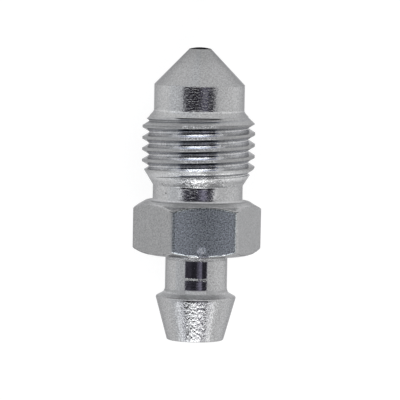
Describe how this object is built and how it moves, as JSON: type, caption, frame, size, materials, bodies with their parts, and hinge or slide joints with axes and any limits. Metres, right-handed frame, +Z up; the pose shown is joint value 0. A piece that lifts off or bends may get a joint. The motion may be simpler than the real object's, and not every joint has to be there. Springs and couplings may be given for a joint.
{
  "type": "hydraulic bleeder screw",
  "caption": "Turned steel bleeder screw with a conical seat, a fine thread, a hexagon and a hose barb, drilled from the barb to a cross port.",
  "frame": {"origin": "on the surface the screw lies on, under the middle of its length", "axes": "+Y along the screw's axis towards the seat cone, -Y towards the hose barb, +Z up, out of the upper hexagon flat"},
  "size_m": [0.0114, 0.0258, 0.01],
  "materials": {
    "zinc_plate": "satin grey zinc plate with fine grain"
  },
  "bodies": {
    "root": {"bleeder_screw": "zinc_plate"}
  },
  "joints": []
}
